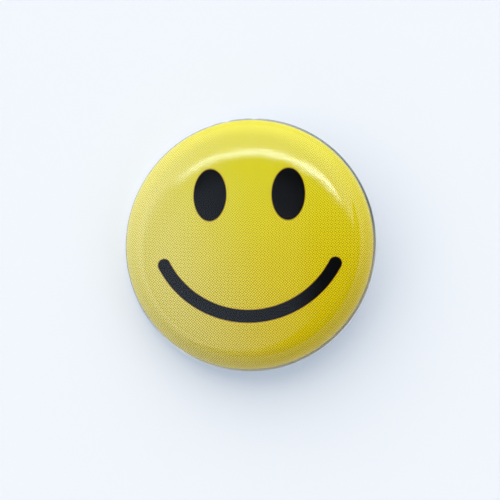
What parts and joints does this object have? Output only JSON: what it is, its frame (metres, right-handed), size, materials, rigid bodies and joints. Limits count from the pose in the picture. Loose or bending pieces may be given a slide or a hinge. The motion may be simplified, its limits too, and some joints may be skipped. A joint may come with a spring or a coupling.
{
  "type": "button badge",
  "caption": "Round domed button badge: film over a printed face, tinplate front shell and closed back with a spring wire pin.",
  "frame": {"origin": "centre of the back shell's flat rear face", "axes": "+Z out of the printed face along the badge's axis, +X to the picture's right, +Y to the picture's top"},
  "size_m": [0.0254, 0.0254, 0.0082],
  "materials": {
    "clear_film": "clear glossy polyester film, faintly blue in its reflections",
    "printed_paper": "coated paper printed yellow and black in a fine dot screen",
    "front_tinplate": "plain rolled tinplate",
    "back_tinplate": "rolled tinplate, pressed, with fine scuffs on the rim",
    "spring_wire": "drawn spring wire, nickel plated, ground point"
  },
  "bodies": {
    "badge": {"clear_film": "clear_film", "printed_paper": "printed_paper", "front_shell": "front_tinplate", "back_shell": "back_tinplate"},
    "pin_wire": {"pin_ring": "spring_wire"},
    "pin": {"pin_arm": "spring_wire"}
  },
  "joints": [
    {"name": "pin_turn", "type": "hinge", "parent": "badge", "child": "pin_wire", "pos_m": [0, 0, -0.00045], "axis": [0, 0, 1], "continuous": true},
    {"name": "pin_open", "type": "hinge", "parent": "pin_wire", "child": "pin", "pos_m": [-0.01106, 0, -0.00045], "axis": [0, 1, 0], "range_deg": [-9.5, 32], "stiffness_Nm_per_rad": 0.1}
  ]
}
